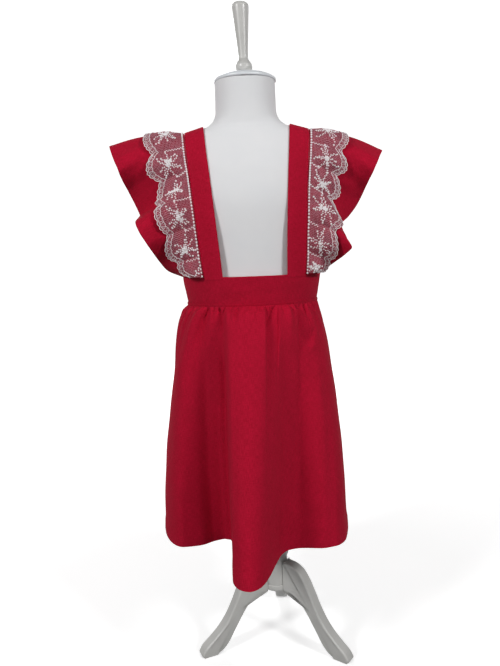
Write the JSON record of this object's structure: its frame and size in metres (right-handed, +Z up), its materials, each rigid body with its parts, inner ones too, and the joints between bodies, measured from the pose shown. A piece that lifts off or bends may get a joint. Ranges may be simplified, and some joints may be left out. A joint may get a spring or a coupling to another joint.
{
  "type": "sarafan dress on dress form",
  "caption": "Sleeveless sarafan pinafore with lace-trimmed shoulder wings, waistband and gathered skirt, on a limbless dress form with a turned stand.",
  "frame": {"origin": "middle of the bounding box's footprint, on the floor", "axes": "+Z up, -Y the front of the dress, +X towards the right as seen from the front"},
  "size_m": [0.4434, 0.3646, 1.072],
  "materials": {
    "red_cloth": "matt plain-woven cotton, deep crimson",
    "white_lace": "embroidered net lace, white over the red cloth",
    "form_cover": "smooth white stretched cover",
    "white_paint": "turned and cut wood with slightly glossy white paint"
  },
  "bodies": {
    "root": {"band_back_left": "red_cloth", "band_back_right": "red_cloth", "band_front": "red_cloth", "form_finial": "white_paint", "form_neck_cap": "white_paint", "form_torso": "form_cover", "lace_left": "white_lace", "lace_right": "white_lace", "skirt_back_left": "red_cloth", "skirt_back_right": "red_cloth", "skirt_front": "red_cloth", "stand_column": "white_paint", "stand_disc": "white_paint", "stand_leg_back": "white_paint", "stand_leg_left": "white_paint", "stand_leg_right": "white_paint", "strap_left": "red_cloth", "strap_right": "red_cloth", "wing_left": "red_cloth", "wing_right": "red_cloth"}
  },
  "joints": []
}
